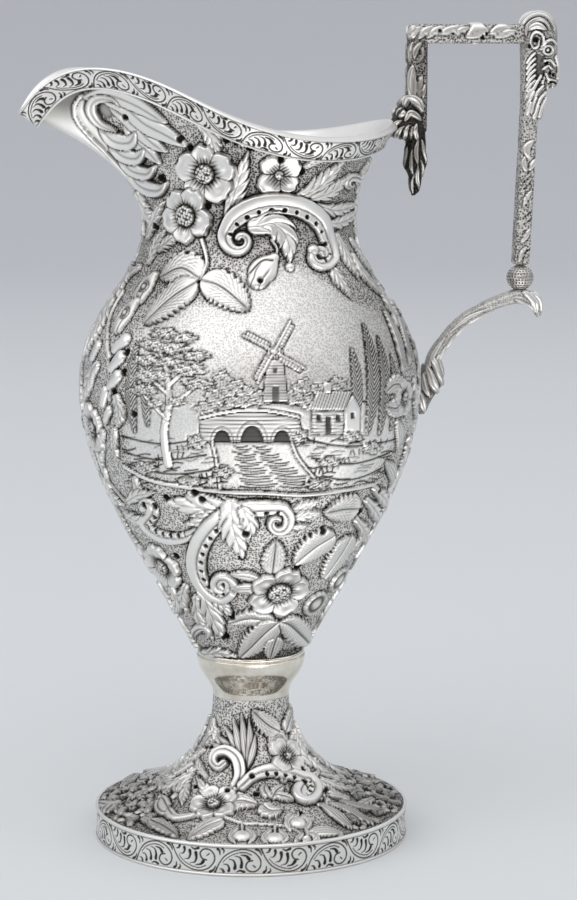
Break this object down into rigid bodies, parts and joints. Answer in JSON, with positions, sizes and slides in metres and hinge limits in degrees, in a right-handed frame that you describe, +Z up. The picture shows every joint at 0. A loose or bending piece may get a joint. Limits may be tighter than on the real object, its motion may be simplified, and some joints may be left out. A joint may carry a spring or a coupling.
{
  "type": "cream jug",
  "caption": "Chased silver cream jug: vase body with a drawn-out lip on a trumpet foot, square branch handle with a ram's head.",
  "frame": {"origin": "on the table, under the middle of the jug's bounding box", "axes": "+Z up from the foot, -X towards the pouring lip, +X towards the handle, Y across the jug"},
  "size_m": [0.155, 0.094, 0.2335],
  "materials": {
    "chased_silver": "satin, chased",
    "polished_silver": "polished",
    "oxidised_silver": "satin, darkened in the recesses"
  },
  "bodies": {
    "root": {"foot_band": "chased_silver", "foot": "chased_silver", "collar": "polished_silver", "seat_wire": "polished_silver", "body": "chased_silver", "rim_band": "chased_silver", "rim_clasp": "oxidised_silver", "leg": "oxidised_silver", "pendant_leaf": "oxidised_silver", "top_branch": "chased_silver", "ram_head": "chased_silver", "grip": "chased_silver", "knop": "oxidised_silver", "knop_dowel": "oxidised_silver", "scroll_arm": "chased_silver", "arm_leaf": "chased_silver"}
  },
  "joints": []
}
